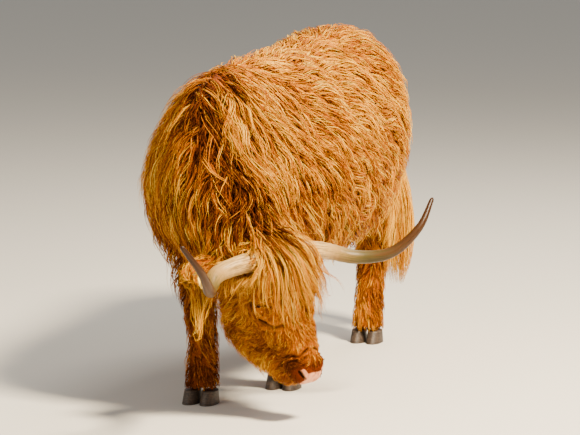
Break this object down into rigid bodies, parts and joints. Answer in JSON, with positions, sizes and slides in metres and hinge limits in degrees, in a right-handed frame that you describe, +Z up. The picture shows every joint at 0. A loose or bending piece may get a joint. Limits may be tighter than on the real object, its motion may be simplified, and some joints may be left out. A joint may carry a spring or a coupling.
{
  "type": "grazing highland cow",
  "caption": "Still, life-size Highland cow with a long shaggy coat and wide upswept horns, grazing with its head low and turned to its left, with a blank ear tag",
  "frame": {"origin": "on the floor plane of the hoof soles, under the centre of the whole figure's box", "axes": "+X to the cow's left, -Y the way it faces, +Z up"},
  "size_m": [1.0632, 2.3044, 1.19],
  "materials": {
    "long_coat": "long ginger hair",
    "short_coat": "short curly ginger hair",
    "leg_coat": "dense dark ginger hair",
    "pale_hair": "long blond hair",
    "nose_skin": "moist bare skin",
    "horn": "satin horn, darker at the tips",
    "hoof_horn": "worn dark horn",
    "eye": "wet dark brown",
    "tag_plastic": "moulded yellow plastic"
  },
  "bodies": {
    "root": {"trunk": "long_coat", "neck": "long_coat", "foreleg_left": "leg_coat", "hoof_fore_left_outer": "hoof_horn", "hoof_fore_left_inner": "hoof_horn", "foreleg_right": "leg_coat", "hoof_fore_right_outer": "hoof_horn", "hoof_fore_right_inner": "hoof_horn", "hindleg_left": "leg_coat", "hoof_hind_left_outer": "hoof_horn", "hoof_hind_left_inner": "hoof_horn", "hindleg_right": "leg_coat", "hoof_hind_right_outer": "hoof_horn", "hoof_hind_right_inner": "hoof_horn", "tail": "long_coat", "tail_switch": "pale_hair", "head": "short_coat", "muzzle": "nose_skin", "lower_jaw": "short_coat", "eye_left": "eye", "horn_left": "horn", "ear_left": "short_coat", "eye_right": "eye", "horn_right": "horn", "ear_right": "short_coat", "ear_tag": "tag_plastic", "forelock": "pale_hair"}
  },
  "joints": []
}
